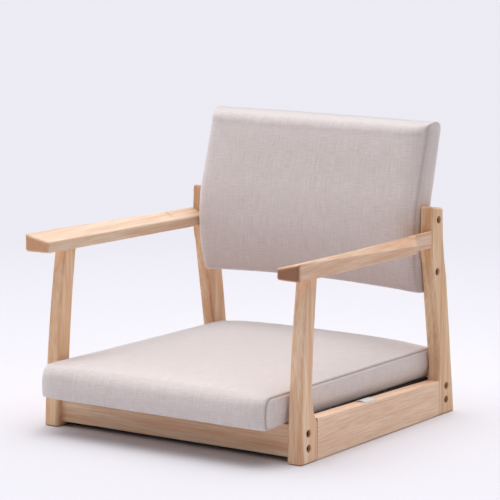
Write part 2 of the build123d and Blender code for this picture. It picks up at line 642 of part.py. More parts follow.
# Seat cushion: crowned, boxed sides, rolled front and rear
cushion_low = PANEL_TOP + SOFT_GAP
cushion_front = FRONT_Y - CUSHION_OVERHANG
cushion_rear = FRONT_Y + FRAME_DEPTH * COS_T - CUSHION_REAR
cushion_half_front = frame_x(-LEG_THICK, FRONT_Y) - CUSHION_SIDE_GAP
cushion_half_rear = frame_x(-POST_THICK, cushion_rear) - CUSHION_REAR_GAP
cushion_taper = math.degrees(math.atan((cushion_half_front - cushion_half_rear) / (cushion_rear - FRONT_Y)))


def cushion_ring(side, out, crown, inset):
    z0 = cushion_low + inset * 0.5
    z1 = cushion_low + CUSHION_THICK - inset
    y0 = cushion_front + inset
    y1 = cushion_rear - inset
    roll = CUSHION_ROLL
    foot = CUSHION_FOOT
    turn = 1 - math.sqrt(0.5)
    edges = [
        line((y0 + foot, z0), (y1 - foot, z0)),
        arc((y1 - foot, z0), (y1 - foot * turn, z0 + foot * turn), (y1, z0 + foot)),
        line((y1, z0 + foot), (y1, z1 - roll)),
        arc((y1, z1 - roll), (y1 - roll * turn, z1 - roll * turn), (y1 - roll, z1)),
        arc((y1 - roll, z1), ((y0 + y1) / 2, z1 + crown), (y0 + roll, z1)),
        arc((y0 + roll, z1), (y0 + roll * turn, z1 - roll * turn), (y0, z1 - roll)),
        line((y0, z1 - roll), (y0, z0 + foot)),
        arc((y0, z0 + foot), (y0 + foot * turn, z0 + foot * turn), (y0 + foot, z0)),
    ]
    ring = Wire(edges)
    share = 1.0 - out / cushion_half_front
    turn = Rot(0, 0, side * cushion_taper * share) * Pos(0, -FRONT_Y, 0)
    return Pos(side * (cushion_half_front - out), FRONT_Y, 0) * turn * ring


def cushion_cap(side):
    rings = [cushion_ring(side, CUSHION_EDGE, 1.0, 0), cushion_ring(side, 0, 0.6, CUSHION_EDGE)]
    return Solid.make_loft(rings, True)


quarter = cushion_half_front * 0.5
cushion_rings = [
    cushion_ring(-1, CUSHION_EDGE, 1.0, 0),
    cushion_ring(-1, quarter, CUSHION_CROWN * 0.8, 0),
    cushion_ring(0, 0, CUSHION_CROWN, 0),
    cushion_ring(1, quarter, CUSHION_CROWN * 0.8, 0),
    cushion_ring(1, CUSHION_EDGE, 1.0, 0),
]
cushion = Solid.make_loft(cushion_rings, False) + cushion_cap(1) + cushion_cap(-1)

# Tape tab on the rail top
rail_fall = (RAIL_FRONT_HEIGHT - RAIL_REAR_HEIGHT) / (POST_JOINT - HEEL_DEPTH)
tab_z = RAIL_FRONT_HEIGHT - (TAB_SET - HEEL_DEPTH) * rail_fall
tab = Pos(0, 0, TAB_THICK / 2) * Box(TAB_WIDE, TAB_LENGTH, TAB_THICK)
tab = Pos(-RAIL_THICK / 2, TAB_SET, tab_z) * Rot(-math.degrees(math.atan(rail_fall)), 0, 0) * tab

nodes = {
    "front_leg_right": leg,
    "front_leg_left": mirror(leg, about=Plane.YZ),
    "side_rail_right": right(rail),
    "side_rail_left": left(rail),
    "rear_post_right": post,
    "rear_post_left": mirror(post, about=Plane.YZ),
    "armrest_right": right(arm),
    "armrest_left": left(arm),
    "rail_dowels": Compound(children=both(rail_dowels)),
    "arm_dowels": Compound(children=both(arm_dowels)),
    "front_rail": front_rail,
    "rear_rail": rear_rail,
    "seat_panel": panel,
    "side_cleat_right": right(side_cleat),
    "side_cleat_left": left(side_cleat),
    "front_cleat": front_cleat,
    "rear_cleat": rear_cleat,
    "cleat_screws": Compound(children=both(side_screws) + screws(front_screw_places + rear_screw_places,
                                                                   CLEAT_SCREW_LENGTH)),
    "panel_screws": Compound(children=both(panel_screws)),
    "front_bolts": Compound(children=pair([bolt(*place, CROSS_BOLT_LENGTH) for place in front_bolt_places])),
    "rear_bolts": Compound(children=pair([bolt(*place, CROSS_BOLT_LENGTH) for place in rear_bolt_places])),
    "back_bolts": Compound(children=pair([bolt(*place, BACK_BOLT_LENGTH) for place in back_bolt_places])),
    "barrel_nuts": Compound(children=pair(nuts)),
    "back_inserts": Compound(children=pair(inserts)),
    "back_stile_right": stile_right,
    "back_stile_left": stile_left,
    "back_low_rail": back_low_rail,
    "back_high_rail": back_high_rail,
    "back_dowels": Compound(children=back_dowels),
    "back_board": board,
    "back_rear_cover": rear_cover,
    "back_pad": pad,
    "seat_cushion": cushion,
    "tape_tab_right": right(tab),
    "tape_tab_left": left(tab),
}

os.makedirs("parts", exist_ok=True)
for name, shape in nodes.items():
    export_step(shape, os.path.join("parts", name + ".step"))
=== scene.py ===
"""Low wooden floor chair with arms: wood finish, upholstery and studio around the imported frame."""

import math

import bmesh
import bpy
import numpy as np
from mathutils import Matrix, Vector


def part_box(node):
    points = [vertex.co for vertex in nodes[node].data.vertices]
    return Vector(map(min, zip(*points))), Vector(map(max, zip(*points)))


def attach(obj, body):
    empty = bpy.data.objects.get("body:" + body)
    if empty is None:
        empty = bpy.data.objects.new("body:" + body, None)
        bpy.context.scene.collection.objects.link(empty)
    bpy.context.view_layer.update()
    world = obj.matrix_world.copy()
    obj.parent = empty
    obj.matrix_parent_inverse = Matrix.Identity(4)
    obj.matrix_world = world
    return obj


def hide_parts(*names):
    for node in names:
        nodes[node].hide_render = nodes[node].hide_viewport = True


MM = 0.001
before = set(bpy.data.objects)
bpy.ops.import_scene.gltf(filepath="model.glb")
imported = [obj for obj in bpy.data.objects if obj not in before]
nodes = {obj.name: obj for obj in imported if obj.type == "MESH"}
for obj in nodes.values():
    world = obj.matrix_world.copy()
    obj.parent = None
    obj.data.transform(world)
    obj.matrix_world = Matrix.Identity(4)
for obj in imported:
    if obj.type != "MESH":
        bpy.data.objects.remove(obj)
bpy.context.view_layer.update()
scene = bpy.context.scene


def linear(code):
    """An sRGB hex colour as linear RGBA."""
    shares = [int(code[i : i + 2], 16) / 255 for i in (0, 2, 4)]
    return (*[s / 12.92 if s <= 0.04045 else ((s + 0.055) / 1.055) ** 2.4 for s in shares], 1.0)


def put(tree, kind, inputs=(), **settings):
    """Adds one node: settings are its properties, inputs its sockets' values or links."""
    made = tree.nodes.new(kind)
    for key, value in settings.items():
        setattr(made, key, value)
    for key, value in dict(inputs).items():
        if isinstance(value, bpy.types.NodeSocket):
            tree.links.new(value, made.inputs[key])
        else:
            made.inputs[key].default_value = value
    return made


def blank(name):
    """A material with an empty tree, and that tree."""
    mat = bpy.data.materials.new(name)
    mat.use_nodes = True
    mat.node_tree.nodes.clear()
    return mat, mat.node_tree


# Finishes

# wood patterns in waves per metre, along the grain and twice across it
FIGURE = (3.4, 72.0, 72.0)  # growth bands about 14 mm apart that wander over a third of a metre
FIBRE = (12.0, 480.0, 480.0)  # streaks 2 mm wide and 80 mm long
PORES = (90.0, 1250.0, 1250.0)  # real pores are 0.2 mm wide, drawn 0.8 mm so that they show
# cloth patterns in waves per metre, across and along the main panel
SLUB_WARP = (560.0, 26.0, 1.0)  # thick threads 1.8 mm wide and 38 mm long, up the panel
SLUB_WEFT = (44.0, 600.0, 1.0)  # and 1.7 mm wide and 23 mm long, across it


def ash_lacquered(name, grain, shift, light, deep, end, ease):
    """Pale ash, planed and sanded, under a satin clear lacquer.
    Straight grain in streaks a few millimetres wide along the piece, short pores, brown end grain,
    and eased edges that catch a soft light."""
    mat, tree = blank(name)
    coords = put(tree, "ShaderNodeTexCoord")
    # the grain runs along the mapped X axis, whatever way the piece lies
    turn = {"X": (0, 0, 0), "Y": (0, 0, math.radians(-90)), "Z": (0, math.radians(90), 0)}[grain]
    lie = put(
        tree,
        "ShaderNodeMapping",
        {"Vector": coords.outputs["Object"], "Rotation": turn, "Location": shift},
    )
    figure_at = put(tree, "ShaderNodeMapping", {"Vector": lie.outputs[0], "Scale": FIGURE})
    figure = put(
        tree,
        "ShaderNodeTexNoise",
        {"Vector": figure_at.outputs[0], "Scale": 1.0, "Detail": 2.5, "Roughness": 0.5, "Distortion": 0.5},
    )
    banded = put(
        tree,
        "ShaderNodeMapRange",
        {"Value": figure.outputs["Fac"], "From Min": 0.34, "From Max": 0.66, "To Min": 0.0, "To Max": 1.0},
    )
    fibre_at = put(tree, "ShaderNodeMapping", {"Vector": lie.outputs[0], "Scale": FIBRE})
    fibre = put(
        tree,
        "ShaderNodeTexNoise",
        {"Vector": fibre_at.outputs[0], "Scale": 1.0, "Detail": 3.0, "Roughness": 0.6},
    )
    pore_at = put(tree, "ShaderNodeMapping", {"Vector": lie.outputs[0], "Scale": PORES})
    pore = put(tree, "ShaderNodeTexNoise", {"Vector": pore_at.outputs[0], "Scale": 1.0, "Detail": 2.0})
    pored = put(
        tree,
        "ShaderNodeMapRange",
        {"Value": pore.outputs["Fac"], "From Min": 0.60, "From Max": 0.74, "To Min": 1.0, "To Max": 0.92},
    )
    # a colour mix has its factor at socket 0, its colours at 6 and 7 and its result at output 2
    body = put(
        tree,
        "ShaderNodeMix",
        {0: banded.outputs[0], 6: linear(deep), 7: linear(light)},
        data_type="RGBA",
    )
    # end grain shows brown where the face is square to the grain, and fades round the eased edge
    eased = put(tree, "ShaderNodeBevel", {"Radius": ease}, samples=8)
    facing = put(
        tree,
        "ShaderNodeVectorTransform",
        {"Vector": eased.outputs[0]},
        vector_type="NORMAL",
        convert_from="WORLD",
        convert_to="OBJECT",
    )
    axis = {"X": (1, 0, 0), "Y": (0, 1, 0), "Z": (0, 0, 1)}[grain]
    square = put(tree, "ShaderNodeVectorMath", {0: facing.outputs[0], 1: axis}, operation="DOT_PRODUCT")
    cut = put(tree, "ShaderNodeMath", {0: square.outputs["Value"]}, operation="ABSOLUTE")
    ended = put(
        tree,
        "ShaderNodeMapRange",
        {"Value": cut.outputs[0], "From Min": 0.45, "From Max": 0.95, "To Min": 0.0, "To Max": 1.0},
    )
    wood = put(
        tree,
        "ShaderNodeMix",
        {0: ended.outputs[0], 6: body.outputs[2], 7: linear(end)},
        data_type="RGBA",
    )
    # the fibre streaks are browner, not greyer, than the wood between them
    streak = put(
        tree,
        "ShaderNodeMapRange",
        {"Value": fibre.outputs["Fac"], "From Min": 0.66, "From Max": 0.34, "To Min": 0.0, "To Max": 1.0},
    )
    streaked = put(
        tree,
        "ShaderNodeMix",
        {0: streak.outputs[0], 6: wood.outputs[2], 7: linear("EFE0D3")},
        data_type="RGBA",
        blend_type="MULTIPLY",
    )
    colour = put(
        tree, "ShaderNodeVectorMath", {0: streaked.outputs[2], "Scale": pored.outputs[0]}, operation="SCALE"
    )
    rough = put(
        tree,
        "ShaderNodeMapRange",
        {"Value": fibre.outputs["Fac"], "From Min": 0.3, "From Max": 0.7, "To Min": 0.58, "To Max": 0.48},
    )
    relief = put(
        tree,
        "ShaderNodeBump",
        {"Strength": 0.25, "Distance": 0.15 * MM, "Height": pored.outputs[0], "Normal": eased.outputs[0]},
    )
    skin = put(
        tree,
        "ShaderNodeBsdfPrincipled",
        {
            "Base Color": colour.outputs[0],
            "Roughness": rough.outputs[0],
            "IOR": 1.5,
            "Specular IOR Level": 0.35,
            "Normal": relief.outputs[0],
        },
    )
    put(tree, "ShaderNodeOutputMaterial", {"Surface": skin.outputs[0]})
    return mat


def linen_weave(name, light, deep, thread):
    """Linen-look upholstery cloth, plain weave.
    Matt, with slubs: thicker threads that run as faint streaks both ways.
    A soft fuzz shows at grazing light."""
    mat, tree = blank(name)
    uv = put(tree, "ShaderNodeUVMap", uv_map="weave")
    # at scale 1 a wave texture repeats every 2 pi / 20, so this gives one wave per thread
    wave = 2 * math.pi / 20 / thread
    threads = {
        "Vector": uv.outputs[0],
        "Scale": wave,
        "Distortion": 1.2,
        "Detail": 1.0,
        "Detail Scale": 0.6,
    }
    warp = put(tree, "ShaderNodeTexWave", threads, bands_direction="X")
    weft = put(tree, "ShaderNodeTexWave", threads, bands_direction="Y")
    weave = put(
        tree,
        "ShaderNodeMath",
        {0: warp.outputs["Fac"], 1: weft.outputs["Fac"]},
        operation="MULTIPLY",
    )
    slub_up_at = put(tree, "ShaderNodeMapping", {"Vector": uv.outputs[0], "Scale": SLUB_WARP})
    slub_up = put(
        tree,
        "ShaderNodeTexNoise",
        {"Vector": slub_up_at.outputs[0], "Scale": 1.0, "Detail": 3.0},
    )
    slub_over_at = put(tree, "ShaderNodeMapping", {"Vector": uv.outputs[0], "Scale": SLUB_WEFT})
    slub_over = put(
        tree,
        "ShaderNodeTexNoise",
        {"Vector": slub_over_at.outputs[0], "Scale": 1.0, "Detail": 3.0},
    )
    slubs = put(
        tree,
        "ShaderNodeMath",
        {0: slub_up.outputs["Fac"], 1: slub_over.outputs["Fac"]},
        operation="ADD",
    )
    tone = put(
        tree,
        "ShaderNodeMapRange",
        {"Value": slubs.outputs[0], "From Min": 0.78, "From Max": 1.22, "To Min": 0.0, "To Max": 1.0},
    )
    cloth = put(
        tree,
        "ShaderNodeMix",
        {0: tone.outputs[0], 6: linear(deep), 7: linear(light)},
        data_type="RGBA",
    )
    gaps = put(
        tree,
        "ShaderNodeMapRange",
        {"Value": weave.outputs[0], "From Min": 0.0, "From Max": 0.5, "To Min": 0.93, "To Max": 1.0},
    )
    # painted shade: cloth that is drawn in at a seam, on a boxed side or turned under below the lumbar is
    # drawn darker and browner
    painted_shade = put(tree, "ShaderNodeAttribute", attribute_name="painted_shade")
    shaded = put(
        tree,
        "ShaderNodeMix",
        {0: painted_shade.outputs["Fac"], 6: cloth.outputs[2], 7: linear("CEC0BA")},
        data_type="RGBA",
        blend_type="MULTIPLY",
    )
    colour = put(
        tree,
        "ShaderNodeVectorMath",
        {0: shaded.outputs[2], "Scale": gaps.outputs[0]},
        operation="SCALE",
    )
    height = put(tree, "ShaderNodeMath", {0: weave.outputs[0], 1: slubs.outputs[0]}, operation="ADD")
    relief = put(
        tree,
        "ShaderNodeBump",
        {"Strength": 0.35, "Distance": 0.25 * MM, "Height": height.outputs[0]},
    )
    skin = put(
        tree,
        "ShaderNodeBsdfPrincipled",
        {
            "Base Color": colour.outputs[0],
            "Roughness": 0.92,
            "Specular IOR Level": 0.25,
            "Sheen Weight": 1.0,
            "Sheen Roughness": 0.45,
            "Normal": relief.outputs[0],
        },
    )
    put(tree, "ShaderNodeOutputMaterial", {"Surface": skin.outputs[0]})
    return mat


def speckled(name, light, deep, grit, rough, metal):
    """A plain stock finish with a fine mottle: black oxide, zinc plate, sanded ply, planed pine."""
    mat, tree = blank(name)
    coords = put(tree, "ShaderNodeTexCoord")
    mottle = put(
        tree,
        "ShaderNodeTexNoise",
        {"Vector": coords.outputs["Object"], "Scale": 1 / grit, "Detail": 4.0},
    )
    colour = put(
        tree,
        "ShaderNodeMix",
        {0: mottle.outputs["Fac"], 6: linear(deep), 7: linear(light)},
        data_type="RGBA",
    )
    relief = put(
        tree,
        "ShaderNodeBump",
        {"Strength": 0.2, "Distance": 0.05 * MM, "Height": mottle.outputs["Fac"]},
    )
    skin = put(
        tree,
        "ShaderNodeBsdfPrincipled",
        {
            "Base Color": colour.outputs[2],
            "Roughness": rough,
            "Metallic": metal,
            "Normal": relief.outputs[0],
        },
    )
    put(tree, "ShaderNodeOutputMaterial", {"Surface": skin.outputs[0]})
    return mat


# boards of one chair differ a little, partly in their own tone and partly as painted light and shade:
# the right armrest and its end grain are drawn darker as painted shade, the front legs and the rails
# lighter as painted light;
# grain axis, place in the log, light, deep and end-grain tone, eased edge
boards = {
    "front_leg_right": ("Z", (0.30, 0.10, 0.00), "FFE2C4", "EFC19B", "D8A982", 1.6 * MM),
    "front_leg_left": ("Z", (0.90, 0.40, 0.20), "FFE3C2", "F3C59C", "D8A982", 1.6 * MM),
    "rear_post_right": ("Z", (1.40, 0.70, 0.10), "FCE2C0", "E5B98E", "DBAF8A", 2.0 * MM),
    "rear_post_left": ("Z", (2.10, 0.20, 0.50), "F7D9B7", "DEB088", "DBAF8A", 2.0 * MM),
    "side_rail_right": ("Y", (0.20, 0.80, 0.30), "FFE3CA", "F7D7BB", "CFA27C", 0.8 * MM),
    "side_rail_left": ("Y", (0.60, 0.30, 0.90), "FFE3CA", "F7D7BB", "CFA27C", 0.8 * MM),
    # painted shade: this armrest and its end grain are drawn darker than the left one
    "armrest_right": ("Y", (1.10, 0.50, 0.40), "F2D6BC", "E1B897", "A37256", 3.0 * MM),
    "armrest_left": ("Y", (1.70, 0.90, 0.70), "F7E4CE", "E7C6A9", "E4B28B", 3.0 * MM),
    # painted light: drawn lighter against the cushion's shadow on this rail
    "front_rail": ("X", (0.70, 0.20, 0.10), "FFE5C8", "EEBF9A", "CFA27C", 1.2 * MM),
    "rear_rail": ("X", (1.30, 0.60, 0.80), "FFE5C8", "EEBF9A", "CFA27C", 1.2 * MM),
}
# thread spacing: a real linen has 0.7 mm, drawn wider so that it shows
linen = linen_weave("linen_beige", "EEE4E1", "DFD3CE", 1.3 * MM)
tape_cloth = linen_weave("woven_tape_white", "F6F5F4", "ECEAE8", 1.2 * MM)
# light and deep tone, size of the mottle, roughness, metal share
black_oxide = speckled("black_oxide_steel", "3A3430", "1E1A18", 0.8 * MM, 0.5, 0.6)
zinc = speckled("zinc_plated_steel", "B9BABC", "9FA1A4", 0.8 * MM, 0.4, 1.0)
birch_ply = speckled("birch_plywood_sanded", "DEC39C", "CBAA7E", 6.0 * MM, 0.7, 0.0)
# painted shade: the seat panel is drawn near black, so that the gap under the cushion reads almost black
painted_shade_ply = speckled("birch_plywood_painted_shade", "3B312B", "2A221D", 6.0 * MM, 0.7, 0.0)
pine = speckled("pine_planed", "E2C8A0", "D2B084", 5.0 * MM, 0.7, 0.0)

finish_of = {name: ash_lacquered("ash_satin_" + name, *board) for name, board in boards.items()}
finish_of |= {
    "seat_panel": painted_shade_ply,
    "back_board": birch_ply,
    "front_bolts": black_oxide,
    "rear_bolts": black_oxide,
    "back_bolts": black_oxide,
    "cleat_screws": zinc,
    "panel_screws": zinc,
    "barrel_nuts": zinc,
    "back_inserts": zinc,
}
for name, cad in nodes.items():
    cad.data.materials.clear()
    cad.data.materials.append(finish_of.get(name, pine))


# Upholstery: closed covers made of rings across the chair

ARC_MIDDLE = 0.29  # a quarter arc's middle stands in from the corner by this share of its radius
SIDE_SHARES = (0.04, 0.1, 0.2, 0.34, 0.5, 0.66, 0.8, 0.9)  # rings of a boxed side, from seam to centre
FILL_PRESSURE = 3.0
SWELL_FRAMES = 20
FOAM_ROUNDS = 12  # rounds of evening out
FOLD_AWAY = 3.2  # the soft fold beside a seam: its place and width in seam widths
FOLD_WIDTH = 1.6
FOLD_RISE = 0.35  # and its height as a share of the seam's depth
SEAM_FADE = 10 * MM  # a seam runs out over this height at the ends of its span


def arc_points(a, m, b, count):
    """Points of the arc through a, m and b, the last one left out."""
    ax, ay = a
    bx, by = b
    mx, my = m
    d = 2 * (ax * (my - by) + mx * (by - ay) + bx * (ay - my))
    ux = ((ax**2 + ay**2) * (my - by) + (mx**2 + my**2) * (by - ay) + (bx**2 + by**2) * (ay - my)) / d
    uy = ((ax**2 + ay**2) * (bx - mx) + (mx**2 + my**2) * (ax - bx) + (bx**2 + by**2) * (mx - ax)) / d
    start = math.atan2(ay - uy, ax - ux)
    middle = (math.atan2(my - uy, mx - ux) - start) % (2 * math.pi)
    sweep = (math.atan2(by - uy, bx - ux) - start) % (2 * math.pi)
    if middle > sweep:
        sweep -= 2 * math.pi
    r = math.hypot(ax - ux, ay - uy)
    return [
        (ux + r * math.cos(start + sweep * i / count), uy + r * math.sin(start + sweep * i / count))
        for i in range(count)
    ]


def line_points(a, b, count):
    """Points from a towards b, the last one left out."""
    return [(a[0] + (b[0] - a[0]) * i / count, a[1] + (b[1] - a[1]) * i / count) for i in range(count)]


def cover(name, rings, flat_rings):
    """One closed mesh from rings; the two end rings are closed by joining opposite points.
    The UV map holds real metres: across and along the main panel, or along and up on the end panels."""
    count = len(rings[0])
    bm = bmesh.new()
    uv = bm.loops.layers.uv.new("weave")
    made = [[bm.verts.new(p) for p in ring] for ring in rings]
    steps = np.linalg.norm(np.diff(rings[len(rings) // 2], axis=0), axis=1)
    middle = np.concatenate([[0], np.cumsum(steps)])
    closing = middle[-1] / count
    for i in range(len(rings) - 1):
        end_panel = i in flat_rings or i + 1 in flat_rings
        for k in range(count):
            n = (k + 1) % count
            face = bm.faces.new((made[i][k], made[i][n], made[i + 1][n], made[i + 1][k]))
            face.smooth = True
            here = middle[k]
            there = middle[n] if n else here + closing
            for loop, v in zip(face.loops, (here, there, there, here)):
                p = loop.vert.co
                loop[uv].uv = (p.y, p.z) if end_panel else (p.x, v)
    for end in (made[0], made[-1]):
        for k in range(count // 2):
            corners = [end[k], end[k + 1], end[count - k - 1], end[-k % count]]
            face = bm.faces.new(list(dict.fromkeys(corners)))
            face.smooth = True
            for loop in face.loops:
                loop[uv].uv = (loop.vert.co.y, loop.vert.co.z)
    bmesh.ops.recalc_face_normals(bm, faces=bm.faces)
    mesh = bpy.data.meshes.new(name)
    bm.to_mesh(mesh)
    bm.free()
    piece = bpy.data.objects.new(name, mesh)
    scene.collection.objects.link(piece)
    return piece


# Seat cushion: boxed, main panel over front, top and rear, a side panel sewn in at each end
seat_low, seat_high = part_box("seat_cushion")
SEAT_LOW = seat_low.z
SEAT_SEAM = seat_high.z - 8.0 * MM  # height of the top at the side seams
SEAT_CROWN = 10.0 * MM  # rise of the top's middle over the seams
SEAT_REAR_LIFT = 7.0 * MM  # further rise along the middle of the rear edge
SEAT_FRONT = seat_low.y
SEAT_REAR = seat_high.y
SEAT_HALF_FRONT = 243.5 * MM  # half width at SEAT_WIDE_Y
SEAT_HALF_REAR = 236.8 * MM  # half width at the rear
SEAT_WIDE_Y = SEAT_FRONT + 64.0 * MM
SEAT_ROLL = 19.0 * MM  # round of the upper edges
SEAT_LOOSE_ROLL = 8.0 * MM  # and what a loose corner adds to it
SEAT_FOOT = 7.0 * MM  # round of the lower edges
SEAT_SIDE_ROLL = 6.0 * MM  # round at the side seams
SEAT_SIDE_BULGE = 1.5 * MM
SEAT_CORNER = 40.0 * MM  # stretch beside a side seam that the seam draws back
SEAT_RIGHT_LOOSE = 0.3  # the right corner is sewn tighter than the left one
FRONT_LEAN = 0.6 * MM  # the front's upper edge stands back by this
FRONT_TUCK = 1.5 * MM  # and its lower edge by this
REAR_TUCK = 1.0 * MM  # the rear's lower edge stands forward by this
SIDE_STEPS, ROUND_STEPS, FLAT_STEPS = 3, 8, 84  # points along half an upright, a round and a flat
TURN_IN = 7.0 * MM  # how far the side panels turn in at the underside
TURN_IN_HEIGHT = 30.0 * MM  # starting this far above the underside
TURN_IN_FROM = 40.0 * MM  # from this far behind the front
TURN_IN_OVER = 50.0 * MM  # and in full after this stretch
CORNER_DEPTH = 45.0 * MM  # depth of a front corner
CORNER_BACK = 6  # millimetres that a front corner goes back
LOOSE_BACK = 4  # and that a loose one goes back further
LOOSE_IN = 3.0 * MM  # how far a loose one goes in


def seat_half(y):
    """Half the cushion's width, which narrows to the rear with the side frames."""
    narrowing = SEAT_HALF_REAR - SEAT_HALF_FRONT
    return SEAT_HALF_FRONT + narrowing * (y - SEAT_WIDE_Y) / (SEAT_REAR - SEAT_WIDE_Y)


def seat_ring(x, inset, share):
    """The cushion's outline at x: upright front, rolled upper edges, crowned top, flat underside."""
    y0, y1 = SEAT_FRONT + inset, SEAT_REAR - inset
    z0, z1 = SEAT_LOW + inset * 0.5, SEAT_SEAM - inset
    # the seams draw the front corners back, the left one to a fuller round
    near_edge = max(abs(x) - SEAT_HALF_FRONT + SEAT_CORNER, 0) / SEAT_CORNER
    corner = min(near_edge, 1) ** 2
    loose = corner * (1.0 if x < 0 else SEAT_RIGHT_LOOSE)
    roll = SEAT_ROLL + SEAT_LOOSE_ROLL * loose
    mid_roll, foot, mid_foot = roll * ARC_MIDDLE, SEAT_FOOT, SEAT_FOOT * ARC_MIDDLE
    zm = (z1 - roll + z0 + foot) / 2
    full = 1 - abs(x / SEAT_HALF_FRONT) ** 3
    front_high, front_low, rear_low = y0 + FRONT_LEAN, y0 + FRONT_TUCK, y1 - REAR_TUCK
    top_front, top_rear = (front_high + roll, z1), (y1 - roll, z1)
    sole_front, sole_rear = (front_low + foot, z0), (rear_low - foot, z0)
    front_up, front_down = (front_high, z1 - roll), (front_low, z0 + foot)
    rear_up, rear_down = (y1, z1 - roll), (rear_low, z0 + foot)
    upper = (
        line_points((y0, zm), front_up, SIDE_STEPS)
        + arc_points(front_up, (front_high + mid_roll, z1 - mid_roll), top_front, ROUND_STEPS)
        + line_points(top_front, top_rear, FLAT_STEPS)
        + arc_points(top_rear, (y1 - mid_roll, z1 - mid_roll), rear_up, ROUND_STEPS)
        + line_points(rear_up, (y1, zm), SIDE_STEPS)
    )
    lower = (
        line_points((y1, zm), rear_down, SIDE_STEPS)
        + arc_points(rear_down, (rear_low - mid_foot, z0 + mid_foot), sole_rear, ROUND_STEPS)
        + line_points(sole_rear, sole_front, FLAT_STEPS)
        + arc_points(sole_front, (front_low + mid_foot, z0 + mid_foot), front_down, ROUND_STEPS)
        + line_points(front_down, (y0, zm), SIDE_STEPS)
    )
    ring = np.array([(0.0, y, z) for y, z in upper + lower])
    along = np.clip((ring[:, 1] - (y0 + y1) / 2) / ((y1 - y0) / 2 - roll * 0.5), -1, 1)
    top = ring[:, 2] > z1 - 0.5 * MM
    dome = SEAT_CROWN * (1 - abs(x / SEAT_HALF_FRONT) ** 2.4) * (1 - np.abs(along) ** 4)
    ring[:, 2] += np.where(top, dome, 0)
    # the filling stands highest along the middle of the rear edge
    back = np.clip((ring[:, 1] - y0) / (y1 - y0), 0, 1)
    ring[:, 2] += SEAT_REAR_LIFT * full * back * np.clip((ring[:, 2] - zm) / (z1 - zm), 0, 1)
    # the rings of the boxed side close in on its centre line
    centre = (SEAT_FRONT + SEAT_REAR) / 2
    ring[:, 2] = (z0 + z1) / 2 + (ring[:, 2] - (z0 + z1) / 2) * (1 - share)
    ring[:, 1] = centre + (ring[:, 1] - centre) * (1 - share * 0.1)
    ring[:, 0] = x * np.array([seat_half(y) for y in ring[:, 1]]) / SEAT_HALF_FRONT
    # behind the front the side panels turn in under the cushion
    low_side = np.clip((SEAT_LOW + TURN_IN_HEIGHT - ring[:, 2]) / TURN_IN_HEIGHT, 0, 1) ** 2
    behind = np.clip((ring[:, 1] - SEAT_FRONT - TURN_IN_FROM) / TURN_IN_OVER, 0, 1)
    ring[:, 0] -= math.copysign(TURN_IN * near_edge, x) * low_side * behind
    # the front corners go back, and a loose one also goes in
    fore = np.clip((SEAT_FRONT + CORNER_DEPTH - ring[:, 1]) / CORNER_DEPTH, 0, 1)
    ring[:, 1] += (CORNER_BACK * corner + LOOSE_BACK * loose) * MM * fore
    ring[:, 0] -= math.copysign(LOOSE_IN * loose, x) * fore
    return ring


def seat_stations(step, seam_steps):
    """Where the cushion's rings stand, from the middle to the side's centre: x, inset, share drawn in."""
    roll = SEAT_SIDE_ROLL
    stations = [(x, 0.0, 0.0) for x in np.arange(0, SEAT_HALF_FRONT - roll - step * 0.5, step)]
    for i in range(seam_steps + 1):
        a = math.pi / 2 * i / seam_steps
        stations.append((SEAT_HALF_FRONT - roll + roll * math.sin(a), roll * (1 - math.cos(a)), 0.0))
    for share in SIDE_SHARES:
        bulge = SEAT_SIDE_BULGE * math.sin(math.pi / 2 * share)
        stations.append((SEAT_HALF_FRONT + bulge, roll, share))
    return stations


def mirrored(stations):
    """Stations of both sides, from the left end to the right one."""
    return [(-s[0], *s[1:]) for s in reversed(stations[1:])] + list(stations)


def boxed(stations):
    """The numbers of the rings that make up the boxed sides."""
    return [i for i, s in enumerate(stations) if s[-1] > 0]


def reach(rings):
    """How far across the cover each ring stands, measured along its top."""
    top = len(rings[0]) // 4
    way = np.array([r[top] for r in rings])
    run = np.concatenate([[0], np.cumsum(np.linalg.norm(np.diff(way, axis=0), axis=1))])
    return run - run[len(run) // 2]


def swell(name, rings, flat, sewn, cap):
    """Lets a cover swell like filled cloth, held at the sewn points, and gives how far each point moved."""
    piece = cover(name, rings, flat)
    start = np.array([v.co for v in piece.data.vertices])
    held = piece.vertex_groups.new(name="sewn")
    held.add([int(i) for i in sewn], 1.0, "REPLACE")
    cloth = piece.modifiers.new("filling", "CLOTH")
    cloth.settings.quality = 6
    cloth.settings.mass = 0.25
    cloth.settings.tension_stiffness = 25
    cloth.settings.compression_stiffness = 25
    cloth.settings.shear_stiffness = 8
    cloth.settings.bending_stiffness = 0.6
    cloth.settings.use_pressure = True
    cloth.settings.uniform_pressure_force = FILL_PRESSURE
    cloth.settings.effector_weights.gravity = 0
    cloth.settings.vertex_group_mass = "sewn"
    cloth.collision_settings.use_collision = False
    for step in range(SWELL_FRAMES):
        scene.frame_set(step + 1)
    shaped = piece.evaluated_get(bpy.context.evaluated_depsgraph_get())
    moved = np.array([v.co for v in shaped.data.vertices]) - start
    length = np.linalg.norm(moved, axis=1, keepdims=True)
    moved *= np.minimum(1, cap / np.maximum(length, 1e-9))
    bpy.data.objects.remove(piece)
    scene.frame_set(1)
    moved = moved.reshape(len(rings), -1, 3)
    # foam under the cloth evens out its small folds
    for _ in range(FOAM_ROUNDS):
        moved = (moved + np.roll(moved, 1, axis=1) + np.roll(moved, -1, axis=1)) / 3
        moved[1:-1] = (moved[:-2] + moved[1:-1] + moved[2:]) / 3
    return moved


